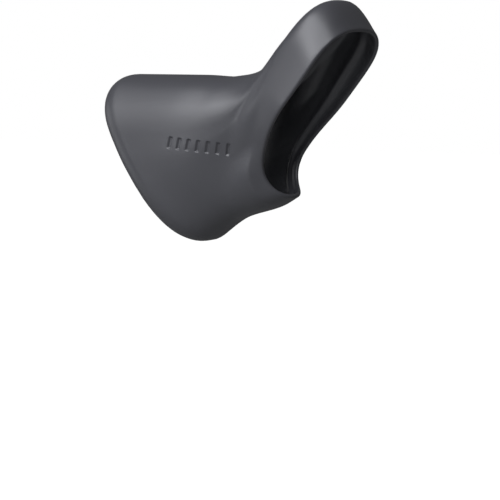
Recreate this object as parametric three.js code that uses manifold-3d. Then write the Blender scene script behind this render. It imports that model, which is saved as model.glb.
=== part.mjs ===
// Brake lever hood: the soft rubber cover of a road bicycle's drop-bar brake lever.
// The real thing is one moulding, a thin-walled sleeve that is stretched over the lever body: a flat
// palm rest at the rear, a raised horn at the front, a deep heel below, a rolled-in rear edge that
// hugs the handlebar, and a large front opening for the lever blade.
// Millimetres, +X forward, +Y to the left, +Z up. The origin is the centre of the rear mouth, where
// the lever body enters.

import * as THREE from 'three';
import { mergeVertices } from 'three/addons/utils/BufferGeometryUtils.js';
import Module from 'manifold-3d';

// Side profile of the top edge. Reaches run forward, heights are above the palm rest.
const palmFlat = 27.5;         // from the rear end of the palm rest to the start of its hollow
const palmLength = 43.5;       // from the rear end of the palm rest to the bottom of its hollow
const palmHollow = 0.2;        // drop of the hollow below the flat
const rootReach = 15;          // from the hollow to the root of the horn
const rootHeight = 3.8;
const backReach = 29.2;        // from the hollow to the middle of the horn's back
const backHeight = 17.7;
const crestReach = 40;         // from the hollow to the crest of the horn
const crestHeight = 25.5;
const rimReach = 48.3;         // from the hollow to the top of the front rim
const rimHeight = 16.2;

// Side profile of the underside. Depths are below the palm rest.
const heelReach = 30.3;        // from the rear end of the palm rest to the lowest point
const heelDepth = 57.5;
const heelRun = 2.7;           // nearly level run at the lowest point
const heelRise = 1;
const flankRun = 13.7;         // from the lowest point to the middle of the rising underside
const flankDepth = 49.5;
const chinReach = 14.2;        // from the palm's hollow to the chin below the front opening
const chinDepth = 45.3;
const lipReach = 21.6;         // from the palm's hollow to the tip of the front lip
const lipDepth = 41.7;

// Each cross-section follows a curve from the top edge to the underside that bows to the rear.
// These are its pulls, forward and upward, at both ends of the hood.
const bowTopRear = [-3.4, -16.6];
const bowTopFront = [-13.2, -25.2];
const bowBottomRear = [-16.5, 20.4];
const bowBottomFront = [-18, 14.8];

// Widths across the upper part, then across the lower part, from the rear edge to the front rim.
const rearWidth = 33.8;
const palmWidth = 34.6;
const waistWidth = 30.2;
const rimWidth = 38.2;
const heelRearWidth = 31.6;
const heelWidth = 27.8;
const throatWidth = 23.6;
const chinWidth = 20.6;
const taperStart = 0.44;       // where the sides start to draw in, as a part of the way down
const taperEnd = 0.95;

// Low down the sides swell towards the front rim, up to a crease, and a bevel leads on to the rim.
const chinFlare = 2;           // on each side
const chinBevel = 5.5;         // from the rim to the crease
const chinRun = 16;            // from the crease to the rear end of the swelling
const chinStart = 0.7;         // where the swelling starts, as a part of the way down
const chinEnd = 0.86;          // where it is full

// Rounding of the cross-sections.
const shoulderRearHeight = 21; // height of the round between the top and the sides
const shoulderFrontHeight = 17;
const heelRoundHeight = 27;    // height of the round between the sides and the underside
const chinRoundHeight = 14.8;
const squareness = 2.5;        // 2 is an ellipse, more is squarer

// The rubber wall and its two free edges.
const wall = 2.2;
const edgeWall = 1.6;
const edgeFade = 12;           // run along the top edge over which the wall thins to an edge
const rollRadius = 8;          // outer radius of the rolled-in rear edge
const rollAngle = 68;          // degrees

// A bead inside the front opening snaps into the groove of the lever body.
const beadHeight = 0.9;
const beadLength = 5;
const beadSetback = 7;         // from the front rim to the middle of the bead, along the top edge

// Two flat-ended nubs inside the side walls drop into holes of the lever body.
const nubReach = 34;           // from the rear end of the palm rest
const nubDepth = 22;           // below the palm rest
const nubHeight = 2.4;         // from the wall to the flat end
const nubDiameter = 7;
const nubRound = 0.8;          // radius at the edge of the flat end
const nubRoot = 0.8;           // how far the nub goes on inside the wall

// A row of slanted grip bars is pressed into both sides.
const gripReach = 36.7;        // middle of the row, from the rear end of the palm rest
const gripLevel = 24;          // below the palm rest
const gripCount = 7;
const gripPitch = 3.7;
const gripLength = 4.4;
const gripWidth = 1.7;
const gripCorner = 0.5;
const gripSink = 0.4;
const gripSlant = 14;          // degrees, forward from the vertical
const gripFall = 5;            // degrees, of the row towards the front

// Centre of the rear mouth, from the rear end of the palm rest.
const mouthReach = 12;
const mouthDepth = 30;

// Steps of the surface.
const outerSteps = 34;
const innerSteps = 22;
const beadSteps = 4;
const roundSteps = 7;
const sideSteps = 12;
const rollSteps = 6;
const edgeSteps = 3;
const nubSides = 24;
const cornerSteps = 3;
const beadGap = 0.01;          // kept free of other rings beside the bead, as a part of the length

// Edge curves in side view, as x and z.
const topEdge = new THREE.SplineCurve([
  new THREE.Vector2(0, 0),
  new THREE.Vector2(palmFlat, 0),
  new THREE.Vector2(palmLength, -palmHollow),
  new THREE.Vector2(palmLength + rootReach, rootHeight),
  new THREE.Vector2(palmLength + backReach, backHeight),
  new THREE.Vector2(palmLength + crestReach, crestHeight),
  new THREE.Vector2(palmLength + rimReach, rimHeight),
]);
const underside = new THREE.SplineCurve([
  new THREE.Vector2(heelReach, -heelDepth),
  new THREE.Vector2(heelReach + heelRun, heelRise - heelDepth),
  new THREE.Vector2(heelReach + flankRun, -flankDepth),
  new THREE.Vector2(palmLength + chinReach, -chinDepth),
  new THREE.Vector2(palmLength + lipReach, -lipDepth),
]);

// Half the width of the upper part (x) and of the lower part (y), from the rear to the front.
const halfWidths = new THREE.SplineCurve([
  new THREE.Vector2(rearWidth / 2, heelRearWidth / 2),
  new THREE.Vector2(palmWidth / 2, heelWidth / 2),
  new THREE.Vector2(waistWidth / 2, throatWidth / 2),
  new THREE.Vector2(rimWidth / 2, chinWidth / 2),
]);

const { clamp, lerp, smoothstep } = THREE.MathUtils;
const turn = THREE.MathUtils.degToRad(rollAngle);
const topLength = topEdge.getLength();
const undersideLength = underside.getLength();

// Curve of one cross-section in side view, for s from 0 at the rear to 1 at the front rim.
function sectionCurve(s) {
  const top = topEdge.getPointAt(s);
  const bottom = underside.getPointAt(s);
  const topPull = new THREE.Vector2(...bowTopRear).lerp(new THREE.Vector2(...bowTopFront), s);
  const bottomPull = new THREE.Vector2(...bowBottomRear).lerp(new THREE.Vector2(...bowBottomFront), s);
  const curve = new THREE.CubicBezierCurve(top, topPull.add(top), bottomPull.add(bottom), bottom);
  curve.arcLengthDivisions = 80;
  return curve;
}

// One side of a section, as pairs: distance down its curve, and share of the half-width.
// Superelliptic rounds at the top and the bottom, straight between them.
function halfOutline(length, shoulder, heel) {
  const outline = [];
  const power = 2 / squareness;
  for (let i = 0; i <= roundSteps; i++) {
    const angle = (i / roundSteps) * Math.PI / 2;
    outline.push([shoulder * (1 - Math.cos(angle) ** power), Math.sin(angle) ** power]);
  }
  for (let i = 1; i < sideSteps; i++) {
    outline.push([lerp(shoulder, length - heel, i / sideSteps), 1]);
  }
  for (let i = roundSteps; i >= 0; i--) {
    const angle = (i / roundSteps) * Math.PI / 2;
    outline.push([length - heel * (1 - Math.cos(angle) ** power), Math.sin(angle) ** power]);
  }
  return outline;
}

// Extra half-width at s and at a part of the way down.
function flareAt(s, part) {
  const toRim = (1 - s) * lerp(topLength, undersideLength, part);
  const bevel = clamp(toRim / chinBevel, 0, 1);
  const fade = 1 - smoothstep(toRim, chinBevel, chinBevel + chinRun);
  return chinFlare * bevel * fade * smoothstep(part, chinStart, chinEnd);
}

// Closed ring of the outer surface at s: down the right side from the top, and up the left side.
function sectionRing(s) {
  const curve = sectionCurve(s);
  const length = curve.getLength();
  const shoulder = lerp(shoulderRearHeight, shoulderFrontHeight, s);
  const heel = lerp(heelRoundHeight, chinRoundHeight, s);
  const halfWidth = halfWidths.getPoint(s);
  const right = halfOutline(length, shoulder, heel).map(([down, share]) => {
    const part = clamp(down / length, 0, 1);
    const taper = smoothstep(part, taperStart, taperEnd);
    const point = curve.getPointAt(part);
    const half = lerp(halfWidth.x, halfWidth.y, taper) + flareAt(s, part);
    return new THREE.Vector3(point.x, -share * half, point.y);
  });
  const left = right.slice(1, -1).reverse();
  return [...right, ...left.map((point) => new THREE.Vector3(point.x, -point.y, point.z))];
}

// The ring at s with two directions at each of its points: forward along the surface, and out of it.
function surfaceRow(s) {
  const ring = sectionRing(s);
  const behind = sectionRing(Math.max(s - 0.01, 0));
  const ahead = sectionRing(Math.min(s + 0.01, 1));
  const directions = ring.map((point, i) => {
    const before = ring[(i + ring.length - 1) % ring.length];
    const after = ring[(i + 1) % ring.length];
    const along = ahead[i].clone().sub(behind[i]);
    const around = after.clone().sub(before).normalize();
    const out = new THREE.Vector3().crossVectors(around, along).normalize();
    return { forward: new THREE.Vector3().crossVectors(out, around), out };
  });
  return { ring, directions };
}

function offsetRing({ ring, directions }, forward, out) {
  return ring.map((point, i) => point.clone()
    .addScaledVector(directions[i].forward, forward)
    .addScaledVector(directions[i].out, out));
}

// A ring of the rolled rear edge, at an angle round the roll and a radius from its centre line.
function rollRing(row, angle, radius) {
  return offsetRing(row, -radius * Math.sin(angle), radius * Math.cos(angle) - rollRadius);
}

// Wall at s: full in the middle, thinner at both edges, thicker at the bead.
function wallAt(s) {
  const toEdge = Math.min(s, 1 - s) * topLength;
  const toBead = Math.abs((1 - s) * topLength - beadSetback) / (beadLength / 2);
  const bead = toBead < 1 ? beadHeight * Math.cos(toBead * Math.PI / 2) ** 2 : 0;
  return lerp(edgeWall, wall, smoothstep(toEdge, 0, edgeFade)) + bead;
}

// Places along the inside, evenly spaced and closer at the bead, from the front to the rear.
function innerPlaces() {
  const places = [];
  for (let i = 0; i <= innerSteps; i++) {
    places.push(i / innerSteps);
  }
  const beadStart = 1 - (beadSetback + beadLength / 2) / topLength;
  const beadEnd = 1 - (beadSetback - beadLength / 2) / topLength;
  const outside = places.filter((s) => s < beadStart - beadGap || s > beadEnd + beadGap);
  for (let i = 0; i <= beadSteps; i++) {
    outside.push(lerp(beadStart, beadEnd, i / beadSteps));
  }
  return outside.sort((a, b) => b - a);
}

// The closed strip of rings: outside from the rear edge to the front rim, and back along the inside.
function shellStrip() {
  const rear = surfaceRow(0);
  const front = surfaceRow(1);
  const strip = [];
  for (let i = 0; i < rollSteps; i++) {
    strip.push(rollRing(rear, turn * (1 - i / rollSteps), rollRadius));
  }
  for (let i = 0; i <= outerSteps; i++) {
    strip.push(sectionRing(i / outerSteps));
  }
  const half = edgeWall / 2;
  for (let i = 1; i <= edgeSteps; i++) {
    const angle = Math.PI * i / (edgeSteps + 1);
    strip.push(offsetRing(front, half * Math.sin(angle), half * (Math.cos(angle) - 1)));
  }
  for (const s of innerPlaces()) {
    strip.push(offsetRing(surfaceRow(s), 0, -wallAt(s)));
  }
  for (let i = 1; i <= rollSteps; i++) {
    strip.push(rollRing(rear, turn * i / rollSteps, rollRadius - edgeWall));
  }
  for (let i = edgeSteps; i >= 1; i--) {
    const angle = Math.PI * i / (edgeSteps + 1);
    const radius = rollRadius - half + half * Math.cos(angle);
    const tip = half * Math.sin(angle);
    const back = radius * Math.sin(turn) + tip * Math.cos(turn);
    const out = radius * Math.cos(turn) - tip * Math.sin(turn) - rollRadius;
    strip.push(offsetRing(rear, -back, out));
  }
  return strip;
}

// Closed surface through the rings, each quad split along its shorter diagonal.
function shellGeometry() {
  const strip = shellStrip();
  const columns = strip[0].length;
  const faces = [];
  for (let row = 0; row < strip.length; row++) {
    const next = (row + 1) % strip.length;
    for (let column = 0; column < columns; column++) {
      const beside = (column + 1) % columns;
      const a = row * columns + column;
      const b = row * columns + beside;
      const c = next * columns + beside;
      const d = next * columns + column;
      const straight = strip[row][column].distanceTo(strip[next][beside]);
      const crossed = strip[row][beside].distanceTo(strip[next][column]);
      if (straight < crossed) {
        faces.push(a, b, c, a, c, d);
      } else {
        faces.push(a, b, d, b, c, d);
      }
    }
  }
  const geometry = new THREE.BufferGeometry().setFromPoints(strip.flat());
  geometry.setIndex(faces);
  return geometry;
}

// Half the width of the outer surface at a place in side view.
function halfWidthAt(reach, depth) {
  const place = new THREE.Vector3(reach, 0, -depth);
  let nearest = place;
  let distance = Infinity;
  for (let i = 0; i <= outerSteps; i++) {
    for (const point of sectionRing(i / outerSteps)) {
      const away = Math.hypot(point.x - place.x, point.z - place.z);
      if (away < distance) {
        nearest = point;
        distance = away;
      }
    }
  }
  return Math.abs(nearest.y);
}

// A nub turned about Y, growing from the left wall towards the middle, or from the right wall.
function nubGeometry(side) {
  const radius = nubDiameter / 2;
  const root = halfWidthAt(nubReach, nubDepth) - wall + nubRoot;
  const end = root - nubRoot - nubHeight;
  const profile = new THREE.Path();
  profile.moveTo(0, end);
  profile.lineTo(radius - nubRound, end);
  profile.absarc(radius - nubRound, end + nubRound, nubRound, -Math.PI / 2, 0, false);
  profile.lineTo(radius, root);
  profile.lineTo(0, root);
  const geometry = new THREE.LatheGeometry(profile.getPoints(3), nubSides);
  if (side < 0) {
    geometry.rotateX(Math.PI);
  }
  geometry.translate(nubReach, 0, -nubDepth);
  return geometry;
}

// Everything inside the outer surface, up to a distance below it, with both mouths closed off.
function coreGeometry(sunk) {
  const points = [];
  const faces = [];
  for (let i = 0; i <= outerSteps; i++) {
    points.push(...offsetRing(surfaceRow(i / outerSteps), 0, -sunk));
  }
  const columns = points.length / (outerSteps + 1);
  for (let row = 0; row < outerSteps; row++) {
    for (let column = 0; column < columns; column++) {
      const a = row * columns + column;
      const b = row * columns + (column + 1) % columns;
      faces.push(a, b, b + columns, a, b + columns, a + columns);
    }
  }
  for (const start of [0, outerSteps * columns]) {
    const middle = new THREE.Vector3();
    for (const point of points.slice(start, start + columns)) {
      middle.addScaledVector(point, 1 / columns);
    }
    points.push(middle);
    for (let column = 0; column < columns; column++) {
      const a = start + column;
      const b = start + (column + 1) % columns;
      faces.push(points.length - 1, start === 0 ? b : a, start === 0 ? a : b);
    }
  }
  const geometry = new THREE.BufferGeometry().setFromPoints(points);
  geometry.setIndex(faces);
  return geometry;
}

// One grip bar as a rounded prism across the whole hood, numbered from the middle of the row.
function barGeometry(number) {
  const x = gripWidth / 2;
  const z = gripLength / 2;
  const shape = new THREE.Shape();
  shape.absarc(x - gripCorner, z - gripCorner, gripCorner, 0, Math.PI / 2, false);
  shape.absarc(gripCorner - x, z - gripCorner, gripCorner, Math.PI / 2, Math.PI, false);
  shape.absarc(gripCorner - x, gripCorner - z, gripCorner, Math.PI, 1.5 * Math.PI, false);
  shape.absarc(x - gripCorner, gripCorner - z, gripCorner, 1.5 * Math.PI, 2 * Math.PI, false);
  const depth = Math.max(rearWidth, palmWidth, waistWidth, rimWidth) + 2 * chinFlare;
  const geometry = new THREE.ExtrudeGeometry(shape, { depth, bevelEnabled: false, curveSegments: cornerSteps });
  const fall = THREE.MathUtils.degToRad(gripFall);
  const along = number * gripPitch;
  geometry.rotateX(Math.PI / 2);
  geometry.rotateY(THREE.MathUtils.degToRad(gripSlant));
  geometry.translate(gripReach + along * Math.cos(fall), depth / 2, -gripLevel - along * Math.sin(fall));
  return geometry;
}

// Joining.
const wasm = await Module();
wasm.setup();

function toSolid(geometry) {
  geometry.deleteAttribute('normal');
  geometry.deleteAttribute('uv');
  const merged = mergeVertices(geometry, 1e-5);
  return new wasm.Manifold(new wasm.Mesh({
    numProp: 3,
    vertProperties: new Float32Array(merged.attributes.position.array),
    triVerts: new Uint32Array(merged.index.array),
  }));
}

function toGeometry(solid) {
  const mesh = solid.getMesh();
  const geometry = new THREE.BufferGeometry();
  geometry.setAttribute('position', new THREE.Float32BufferAttribute(mesh.vertProperties, 3));
  geometry.setIndex(new THREE.Uint32BufferAttribute(mesh.triVerts, 1));
  geometry.computeVertexNormals();
  return geometry;
}

const sleeve = toSolid(shellGeometry());
const nubs = [toSolid(nubGeometry(1)), toSolid(nubGeometry(-1))];
const core = toSolid(coreGeometry(gripSink));
const bars = [];
for (let i = 0; i < gripCount; i++) {
  bars.push(toSolid(barGeometry(i - (gripCount - 1) / 2)).subtract(core));
}
const body = bars.reduce((solid, bar) => solid.subtract(bar), sleeve.add(nubs[0]).add(nubs[1]));
const rubber = new THREE.MeshStandardMaterial({ color: 0x4b4c52, roughness: 0.55, metalness: 0 });

const hood = new THREE.Mesh(toGeometry(body), rubber);
hood.name = 'rubber_hood';
hood.position.set(-mouthReach, 0, mouthDepth);

const group = new THREE.Group();
group.add(hood);

export default group;
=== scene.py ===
import math

import bpy
import numpy as np
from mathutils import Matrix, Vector


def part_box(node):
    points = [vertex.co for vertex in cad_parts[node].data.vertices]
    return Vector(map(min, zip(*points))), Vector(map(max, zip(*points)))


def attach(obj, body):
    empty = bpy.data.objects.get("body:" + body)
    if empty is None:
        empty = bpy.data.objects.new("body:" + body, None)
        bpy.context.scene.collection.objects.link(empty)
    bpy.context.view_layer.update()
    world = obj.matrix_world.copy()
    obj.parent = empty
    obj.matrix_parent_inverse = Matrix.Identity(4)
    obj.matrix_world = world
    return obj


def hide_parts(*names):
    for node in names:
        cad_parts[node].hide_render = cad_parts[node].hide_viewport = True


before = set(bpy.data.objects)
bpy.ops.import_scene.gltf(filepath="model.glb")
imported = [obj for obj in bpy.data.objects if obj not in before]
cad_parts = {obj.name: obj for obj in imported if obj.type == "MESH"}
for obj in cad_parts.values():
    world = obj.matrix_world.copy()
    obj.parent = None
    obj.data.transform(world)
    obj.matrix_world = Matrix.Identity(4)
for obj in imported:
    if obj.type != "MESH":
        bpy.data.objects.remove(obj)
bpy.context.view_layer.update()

# Outside of the hood
# One compression moulding in soft rubber, a sleeve that is stretched into place: flat palm rest,
# raised horn in front, deep heel below. Sizes are in millimetres from the rear end of the palm rest,
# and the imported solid's box places them.
MM = 0.001
CREST_HEIGHT = 25.5
REAR_TO_FRONT = 91.8
node_low, node_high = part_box("rubber_hood")
palm_rear = Vector((-12.0 * MM, 0.0, node_high.z - CREST_HEIGHT * MM))

TOP_EDGE = np.array([
    (0.0, 0.0), (27.5, 0.0), (43.5, -0.2), (58.5, 3.8), (72.7, 17.7), (83.5, CREST_HEIGHT),
    (REAR_TO_FRONT, 16.2),
])
UNDERSIDE = np.array([(30.3, -57.5), (33.0, -56.5), (44.0, -49.5), (57.7, -45.3), (65.1, -41.7)])
BOW_TOP = np.array([(-3.4, -16.6), (-13.2, -25.2)])
BOW_BOTTOM = np.array([(-16.5, 20.4), (-18.0, 14.8)])
HALF_WIDTH_UPPER = np.array([16.9, 17.3, 15.1, 19.1])
HALF_WIDTH_LOWER = np.array([15.8, 13.9, 11.8, 10.3])
SHOULDER_HEIGHT = (21.0, 17.0)
HEEL_HEIGHT = (27.0, 14.8)
TAPER_START, TAPER_END = 0.44, 0.95
SQUARENESS = 2.5
CHIN_FLARE, CHIN_BEVEL, CHIN_RUN = 2.0, 5.5, 16.0
CHIN_START, CHIN_END = 0.7, 0.86
EDGE_SAMPLES, SECTION_SAMPLES = 801, 161


def smooth_step(x):
    """Zero below 0, one above 1, and 3x squared minus 2x cubed between them."""
    x = np.clip(x, 0.0, 1.0)
    return x * x * (3.0 - 2.0 * x)


def through(points, t):
    """Curve through evenly timed points: each cubic piece has its end slopes from the points on both
    sides of it, and the first and last points are doubled."""
    points = np.asarray(points, float)
    last = len(points) - 1
    place = np.clip(t, 0.0, 1.0) * last
    i = np.clip(place.astype(int), 0, last - 1)
    w = place - i
    if points.ndim > 1:
        w = w[..., None]
    padded = np.concatenate([points[:1], points, points[-1:]])
    a, b, c, d = padded[i], padded[i + 1], padded[i + 2], padded[i + 3]
    return b + 0.5 * w * (c - a + w * (2 * a - 5 * b + 4 * c - d + w * (3 * (b - c) + d - a)))


def edge_lengths(points):
    """Length along the curve through the points, from its start to evenly timed places on it."""
    steps = np.diff(through(points, np.linspace(0.0, 1.0, EDGE_SAMPLES)), axis=0)
    return np.concatenate([[0.0], np.cumsum(np.linalg.norm(steps, axis=1))])


def along_edge(points, s):
    """Point at a share s of the length of the curve through the points."""
    length = edge_lengths(points)
    times = np.linspace(0.0, 1.0, EDGE_SAMPLES)
    return through(points, np.interp(s * length[-1], length, times))


TOP_LENGTH = edge_lengths(TOP_EDGE)[-1]
UNDERSIDE_LENGTH = edge_lengths(UNDERSIDE)[-1]


def chin_flare(s, share):
    """Extra half-width low down behind the front rim: nothing at the rim, a straight bevel up to a
    crease, and a slow fade to the rear."""
    to_rim = (1 - s) * (TOP_LENGTH + (UNDERSIDE_LENGTH - TOP_LENGTH) * share)
    bevel = np.clip(to_rim / CHIN_BEVEL, 0.0, 1.0)
    fade = 1 - smooth_step((to_rim - CHIN_BEVEL) / CHIN_RUN)
    low = smooth_step((share - CHIN_START) / (CHIN_END - CHIN_START))
    return CHIN_FLARE * bevel * fade * low


def outline_share(v):
    """Height used of the top round, of the straight side and of the bottom round, and share of the
    half-width, for v from 0 at the top of a section to 1 at its bottom. The rounds are quarter
    superellipses."""
    power = 2.0 / SQUARENESS
    top = np.clip(v * 4.0, 0.0, 1.0) * math.pi / 2
    side = np.clip((v - 0.25) * 2.0, 0.0, 1.0)
    bottom = np.clip((1.0 - v) * 4.0, 0.0, 1.0) * math.pi / 2
    width = np.minimum(np.sin(top), np.sin(bottom)) ** power
    return 1.0 - np.cos(top) ** power, side, np.cos(bottom) ** power, width


def hood_surface(s, v):
    """Outer surface on a grid. s runs from the rear edge to the front rim and v from the top of the
    right side down to the bottom. Each section hangs between the top edge and the underside on a
    cubic Bezier curve, v is spaced along that curve's length, and the half-width changes from its
    upper to its lower value on the way down, with the chin's flare added."""
    s = np.clip(s, 0.0, 1.0)
    top, bottom = along_edge(TOP_EDGE, s), along_edge(UNDERSIDE, s)
    k = s[:, None]
    pulls = [
        top,
        top + BOW_TOP[0] * (1 - k) + BOW_TOP[1] * k,
        bottom + BOW_BOTTOM[0] * (1 - k) + BOW_BOTTOM[1] * k,
        bottom,
    ]

    def bezier(t):
        weights = [(1 - t) ** 3, 3 * t * (1 - t) ** 2, 3 * t * t * (1 - t), t ** 3]
        return sum(w[..., None] * p[:, None] for w, p in zip(weights, pulls))

    fine = np.linspace(0.0, 1.0, SECTION_SAMPLES)[None, :] * np.ones_like(k)
    chords = np.linalg.norm(np.diff(bezier(fine), axis=1), axis=2)
    lengths = np.concatenate([np.zeros_like(k), np.cumsum(chords, axis=1)], axis=1)
    total = lengths[:, -1:]
    shoulder = SHOULDER_HEIGHT[0] * (1 - k) + SHOULDER_HEIGHT[1] * k
    heel = HEEL_HEIGHT[0] * (1 - k) + HEEL_HEIGHT[1] * k
    in_top, in_side, in_bottom, width = outline_share(v[None, :])
    down = shoulder * in_top + (total - shoulder - heel) * in_side + heel * in_bottom
    down = np.clip(down, 0.0, total)
    cell = (lengths[:, None, :] <= down[:, :, None]).sum(axis=2) - 1
    cell = np.clip(cell, 0, fine.shape[1] - 2)
    low = np.take_along_axis(lengths, cell, axis=1)
    high = np.take_along_axis(lengths, cell + 1, axis=1)
    t = (cell + (down - low) / (high - low)) / (fine.shape[1] - 1)
    profile = bezier(t)
    upper = through(HALF_WIDTH_UPPER, s)[:, None]
    lower = through(HALF_WIDTH_LOWER, s)[:, None]
    taper = smooth_step((down / total - TAPER_START) / (TAPER_END - TAPER_START))
    half = (upper + (lower - upper) * taper + chin_flare(k, down / total)) * width
    return np.stack([profile[..., 0], -half, profile[..., 1]], axis=-1)


def whole_ring(right):
    """Right half of a section joined to its mirror image on the left, as closed rings."""
    left = right[:, -2:0:-1] * np.array([1.0, -1.0, 1.0])
    return np.concatenate([right, left], axis=1)


def unit(vectors):
    return vectors / np.maximum(np.linalg.norm(vectors, axis=-1, keepdims=True), 1e-12)


def surface_rows(s, v):
    """Rings at s with the directions out of the surface and forward along it, from the differences
    between neighbouring points."""
    step = 0.002
    ring = whole_ring(hood_surface(s, v))
    ahead = whole_ring(hood_surface(s + step, v)) - whole_ring(hood_surface(s - step, v))
    around = unit(np.roll(ring, -1, axis=1) - np.roll(ring, 1, axis=1))
    out = unit(np.cross(around, ahead))
    return ring, out, np.cross(out, around)


# Wall and free edges of the hood
# The rubber is thinnest at its edges. The rear edge rolls in, the front rim is rounded over, and a
# bead inside it keeps the hood from creeping.
WALL = 2.2
EDGE_WALL = 1.6
EDGE_FADE = 12.0
ROLL_RADIUS = 8.0
ROLL_TURN = math.radians(68)
BEAD_HEIGHT, BEAD_LENGTH, BEAD_SETBACK = 0.9, 5.0, 7.0
GRIP_CENTRE = np.array([36.7, -24.0])
GRIP_COUNT, GRIP_PITCH, GRIP_DEPTH = 7, 3.7, 0.55
GRIP_BAR = np.array([1.7, 4.4])
GRIP_FALL, GRIP_SLANT = math.radians(5), math.radians(14)
GRIP_ROUND, GRIP_EDGE = 0.5, 0.5
NUB_PLACE = np.array([34.0, -22.0])
NUB_RADIUS, NUB_HEIGHT, NUB_ROUND = 3.5, 2.4, 0.8


def wall_at(s):
    """Wall at s, thin at both edges, with a cosine-squared bead near the front rim."""
    to_edge = np.minimum(s, 1 - s) * TOP_LENGTH
    to_bead = np.abs((1 - s) * TOP_LENGTH - BEAD_SETBACK) / (BEAD_LENGTH / 2)
    bead = np.where(to_bead < 1, BEAD_HEIGHT * np.cos(np.minimum(to_bead, 1) * math.pi / 2) ** 2, 0)
    return EDGE_WALL + (WALL - EDGE_WALL) * smooth_step(to_edge / EDGE_FADE) + bead


def pressed_grip(ring):
    """Outer rings with the grip bars pressed into both sides. A bar is a rectangle with rounded
    corners, slanted forward, and its depth falls off smoothly over its edge."""
    place = ring[..., [0, 2]] - GRIP_CENTRE
    row = np.array([math.cos(GRIP_FALL), -math.sin(GRIP_FALL)])
    number = np.round((place[..., 0] - place[..., 1] * math.tan(GRIP_SLANT)) / (GRIP_PITCH * row[0]))
    place = place - np.clip(number, -(GRIP_COUNT // 2), GRIP_COUNT // 2)[..., None] * GRIP_PITCH * row
    over = place[..., 0] * math.cos(GRIP_SLANT) - place[..., 1] * math.sin(GRIP_SLANT)
    up = place[..., 0] * math.sin(GRIP_SLANT) + place[..., 1] * math.cos(GRIP_SLANT)
    beyond = np.abs(np.stack([over, up], axis=-1)) - (GRIP_BAR / 2 - GRIP_ROUND)
    distance = np.linalg.norm(np.maximum(beyond, 0), axis=-1) + np.minimum(beyond.max(axis=-1), 0)
    depth = GRIP_DEPTH * smooth_step((GRIP_ROUND - distance) / GRIP_EDGE)
    moved = ring.copy()
    moved[..., 1] -= np.sign(ring[..., 1]) * depth
    return moved


def with_nubs(ring):
    """Inner rings with one round nub on each side. Its face is flat and square to the side, its
    edge a quarter ellipse and then a steep side."""
    distance = np.linalg.norm(ring[..., [0, 2]] - NUB_PLACE, axis=-1)
    nearest = np.unravel_index(np.argmin(distance), distance.shape)
    face = abs(ring[nearest][1]) - NUB_HEIGHT
    over = np.clip((distance - NUB_RADIUS) / NUB_ROUND + 1, 0.0, 1.0)
    share = 1 - (NUB_ROUND / NUB_HEIGHT) * (1 - np.sqrt(1 - over ** 2))
    share = share * np.clip((NUB_RADIUS + 0.2 - distance) / 0.2, 0.0, 1.0)
    moved = ring.copy()
    moved[..., 1] += np.sign(ring[..., 1]) * (face - np.abs(ring[..., 1])) * share
    return moved


def rolled(row, angle, radius):
    """Rings of the rear roll, at angles round it and at a radius from its centre line."""
    ring, out, forward = (part[None] for part in row)
    angle, radius = angle[:, None, None], np.asarray(radius)[..., None, None]
    return ring - forward * radius * np.sin(angle) + out * (radius * np.cos(angle) - ROLL_RADIUS)


def hood_strip(v, outer_s, inner_s, roll_steps=12, edge_steps=6):
    """Closed strip of rings: rolled rear edge, outside, front rim, inside, and back round the roll."""
    half = EDGE_WALL / 2
    rear = [part[0] for part in surface_rows(np.array([0.0]), v)]
    front = [part[0] for part in surface_rows(np.array([1.0]), v)]
    turn = np.linspace(ROLL_TURN, 0.0, roll_steps + 1)
    round_over = np.linspace(0.0, math.pi, edge_steps + 2)[1:-1, None, None]
    outside = pressed_grip(surface_rows(outer_s, v)[0])
    rim = front[0] + front[2] * half * np.sin(round_over) + front[1] * half * (np.cos(round_over) - 1)
    ring, out, _ = surface_rows(inner_s, v)
    inside = with_nubs(ring - out * wall_at(inner_s)[:, None, None])
    inner_roll = rolled(rear, turn[::-1][1:], np.full(roll_steps, ROLL_RADIUS - EDGE_WALL))
    tip = rolled(rear, np.full(1, ROLL_TURN), np.full(1, ROLL_RADIUS - half))
    across = -rear[2] * math.sin(ROLL_TURN) + rear[1] * math.cos(ROLL_TURN)
    beyond = -rear[2] * math.cos(ROLL_TURN) - rear[1] * math.sin(ROLL_TURN)
    last = round_over[::-1]
    tip_rings = tip + across * half * np.cos(last) + beyond * half * np.sin(last)
    outer_roll = rolled(rear, turn[:-1], np.full(roll_steps, ROLL_RADIUS))
    return np.concatenate([outer_roll, outside, rim, inside, inner_roll, tip_rings])


def mesh_from_strip(name, strip):
    """Mesh of four-sided faces on a grid that closes both along the strip and round it."""
    rows, columns = strip.shape[:2]
    index = np.arange(rows * columns).reshape(rows, columns)
    ahead, beside = np.roll(index, -1, axis=0), np.roll(index, -1, axis=1)
    faces = np.stack([index, beside, np.roll(ahead, -1, axis=1), ahead], axis=-1).reshape(-1, 4)
    mesh = bpy.data.meshes.new(name)
    place = strip.reshape(-1, 3) * MM + np.array(palm_rear)
    mesh.from_pydata(place.tolist(), [], faces.tolist())
    mesh.polygons.foreach_set("use_smooth", np.ones(len(faces), dtype=bool))
    mesh.update()
    piece = bpy.data.objects.new(name, mesh)
    bpy.context.scene.collection.objects.link(piece)
    return piece


def finer(low, high, before, between, after):
    """Places from 0 to 1 with numbers of steps before low, from low to high, and after high."""
    return np.concatenate([
        np.linspace(0.0, low, before, endpoint=False),
        np.linspace(low, high, between, endpoint=False),
        np.linspace(high, 1.0, after),
    ])


around_half = finer(0.26, 0.73, 20, 106, 17)
outer_places = finer(0.24, 0.74, 18, 152, 26)
inner_places = finer(0.32, 0.49, 26, 36, 42)[::-1]
hood = mesh_from_strip("moulded_hood", hood_strip(around_half, outer_places, inner_places))
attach(hood, "root")
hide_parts("rubber_hood")

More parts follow.
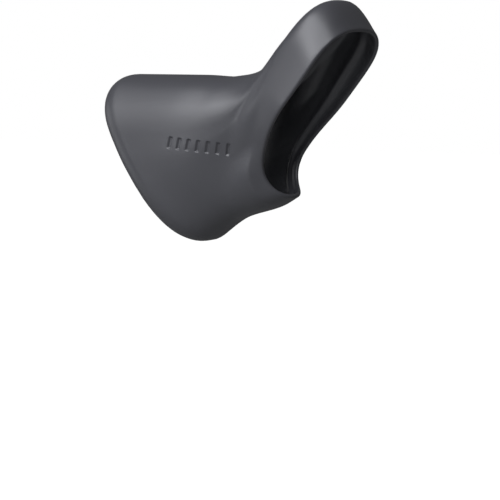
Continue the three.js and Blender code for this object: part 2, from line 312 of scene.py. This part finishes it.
# Rubber
# Dark grey compound with a satin skin from the polished mould: a fine even grain, and broad patches
# that are slightly shinier, as handling leaves them.
rubber = bpy.data.materials.new("satin_rubber")
rubber.use_nodes = True
nodes, links = rubber.node_tree.nodes, rubber.node_tree.links
shader = nodes["Principled BSDF"]
shader.inputs["Base Color"].default_value = (0.058, 0.059, 0.067, 1.0)
shader.inputs["Specular IOR Level"].default_value = 1.0
place = nodes.new("ShaderNodeTexCoord")
grain = nodes.new("ShaderNodeTexNoise")
grain.inputs["Scale"].default_value = 2200.0
grain.inputs["Detail"].default_value = 2.0
bump = nodes.new("ShaderNodeBump")
bump.inputs["Strength"].default_value = 0.5
bump.inputs["Distance"].default_value = 0.00003
patches = nodes.new("ShaderNodeTexNoise")
patches.inputs["Scale"].default_value = 70.0
patches.inputs["Detail"].default_value = 1.0
sheen = nodes.new("ShaderNodeMapRange")
sheen.inputs["From Min"].default_value = 0.3
sheen.inputs["From Max"].default_value = 0.7
sheen.inputs["To Min"].default_value = 0.38
sheen.inputs["To Max"].default_value = 0.43
links.new(place.outputs["Object"], grain.inputs["Vector"])
links.new(place.outputs["Object"], patches.inputs["Vector"])
links.new(grain.outputs["Fac"], bump.inputs["Height"])
links.new(bump.outputs["Normal"], shader.inputs["Normal"])
links.new(patches.outputs["Fac"], sheen.inputs["Value"])
links.new(sheen.outputs["Result"], shader.inputs["Roughness"])
hood.data.materials.append(rubber)

# Floor
# A plain matt floor well below the part, as wide as the studio, that throws little light back at it.
# Seen directly it is lifted to a pale tone near the part, and to white further off.
FLOOR_DROP = 0.3
FLOOR_SIZE = 12.0
PALE_REACH, WHITE_REACH = 0.1, 1.0
floor_mesh = bpy.data.meshes.new("studio_floor")
floor_z = node_low.z - FLOOR_DROP
corner = FLOOR_SIZE / 2
floor_mesh.from_pydata(
    [(-corner, -corner, floor_z), (corner, -corner, floor_z), (corner, corner, floor_z),
     (-corner, corner, floor_z)],
    [], [(0, 1, 2, 3)],
)
floor = bpy.data.objects.new("studio_floor", floor_mesh)
bpy.context.scene.collection.objects.link(floor)
pale = bpy.data.materials.new("pale_floor")
pale.use_nodes = True
parts, wires = pale.node_tree.nodes, pale.node_tree.links
paint = parts["Principled BSDF"]
paint.inputs["Base Color"].default_value = (0.3, 0.3, 0.3, 1.0)
paint.inputs["Roughness"].default_value = 0.9
paint.inputs["Emission Color"].default_value = (1.0, 1.0, 1.0, 1.0)
spot = parts.new("ShaderNodeTexCoord")
reach = parts.new("ShaderNodeVectorMath")
reach.operation = "LENGTH"
lift = parts.new("ShaderNodeMapRange")
lift.interpolation_type = "SMOOTHSTEP"
lift.inputs["From Min"].default_value = PALE_REACH
lift.inputs["From Max"].default_value = WHITE_REACH
lift.inputs["To Min"].default_value = 0.6
lift.inputs["To Max"].default_value = 1.0
path = parts.new("ShaderNodeLightPath")
shown = parts.new("ShaderNodeMath")
shown.operation = "MULTIPLY"
wires.new(spot.outputs["Object"], reach.inputs[0])
wires.new(reach.outputs["Value"], lift.inputs["Value"])
wires.new(lift.outputs["Result"], shown.inputs[0])
wires.new(path.outputs["Is Camera Ray"], shown.inputs[1])
wires.new(shown.outputs["Value"], paint.inputs["Emission Strength"])
floor_mesh.materials.append(pale)

# Studio light
# A dim room with a white backdrop. A large soft box hangs above the right side and a smaller one
# stands beside it. Two weak ones light the rear end from behind and the horn from the upper front.
LAMP_DISTANCE = 1.1
LAMP_TINT = (0.95, 0.96, 1.0)
world = bpy.data.worlds.new("studio")
bpy.context.scene.world = world
world.use_nodes = True
sky, sky_links = world.node_tree.nodes, world.node_tree.links
backdrop = sky["Background"]
backdrop.inputs["Color"].default_value = (1.0, 1.0, 1.0, 1.0)
backdrop.inputs["Strength"].default_value = 0.1
seen = sky.new("ShaderNodeBackground")
seen.inputs["Color"].default_value = (1.0, 1.0, 1.0, 1.0)
seen.inputs["Strength"].default_value = 1.0
rays = sky.new("ShaderNodeLightPath")
choose = sky.new("ShaderNodeMixShader")
sky_links.new(rays.outputs["Is Camera Ray"], choose.inputs["Fac"])
sky_links.new(backdrop.outputs["Background"], choose.inputs[1])
sky_links.new(seen.outputs["Background"], choose.inputs[2])
sky_links.new(choose.outputs["Shader"], sky["World Output"].inputs["Surface"])


def from_middle(azimuth, elevation, distance):
    """Point at a distance from the hood's middle, by its angle round from the right side towards
    the front and its angle above the level."""
    a, e = math.radians(azimuth), math.radians(elevation)
    direction = Vector((math.sin(a) * math.cos(e), -math.cos(a) * math.cos(e), math.sin(e)))
    return (node_low + node_high) / 2 + distance * direction


def soft_box(name, azimuth, elevation, size, power):
    """Square area lamp at its angles round the hood, turned to face the hood's middle."""
    lamp = bpy.data.lights.new(name, "AREA")
    lamp.size = size
    lamp.energy = power
    lamp.color = LAMP_TINT
    holder = bpy.data.objects.new(name, lamp)
    holder.location = from_middle(azimuth, elevation, LAMP_DISTANCE)
    facing = from_middle(0, 0, 0) - holder.location
    holder.rotation_euler = facing.to_track_quat("-Z", "Y").to_euler()
    bpy.context.scene.collection.objects.link(holder)


soft_box("key_box", -8, 44, 1.1, 12.0)
soft_box("side_box", -24, 14, 0.6, 2.7)
soft_box("rear_box", -78, -4, 0.6, 1.0)
soft_box("front_box", 52, 42, 0.5, 2.6)

# Camera
# The photograph's long lens: turned from the pure side view towards the front, level with the hood
# and a little above it, and aimed below it, where the picture's middle lies.
AZIMUTH, ELEVATION = math.radians(35), math.radians(2)
DISTANCE = 0.9
PICTURE_PIXELS, PIXEL_SIZE = 500, 0.345 * MM
FRAME_WIDTH = PICTURE_PIXELS * PIXEL_SIZE
SENSOR_WIDTH = 36.0
seen_middle = Vector((0.0305, 0.0, 0.0146))
aim_point = Vector((0.0345, 0.0009, -0.0303))
away = Vector((
    math.sin(AZIMUTH) * math.cos(ELEVATION),
    -math.cos(AZIMUTH) * math.cos(ELEVATION),
    math.sin(ELEVATION),
))
camera_data = bpy.data.cameras.new("camera")
camera_data.sensor_width = SENSOR_WIDTH
camera_data.lens = SENSOR_WIDTH * DISTANCE / FRAME_WIDTH
camera = bpy.data.objects.new("camera", camera_data)
camera.location = seen_middle + away * DISTANCE
camera.rotation_euler = (aim_point - camera.location).to_track_quat("-Z", "Y").to_euler()
bpy.context.scene.collection.objects.link(camera)
bpy.context.scene.camera = camera
bpy.context.scene.view_settings.view_transform = "Standard"
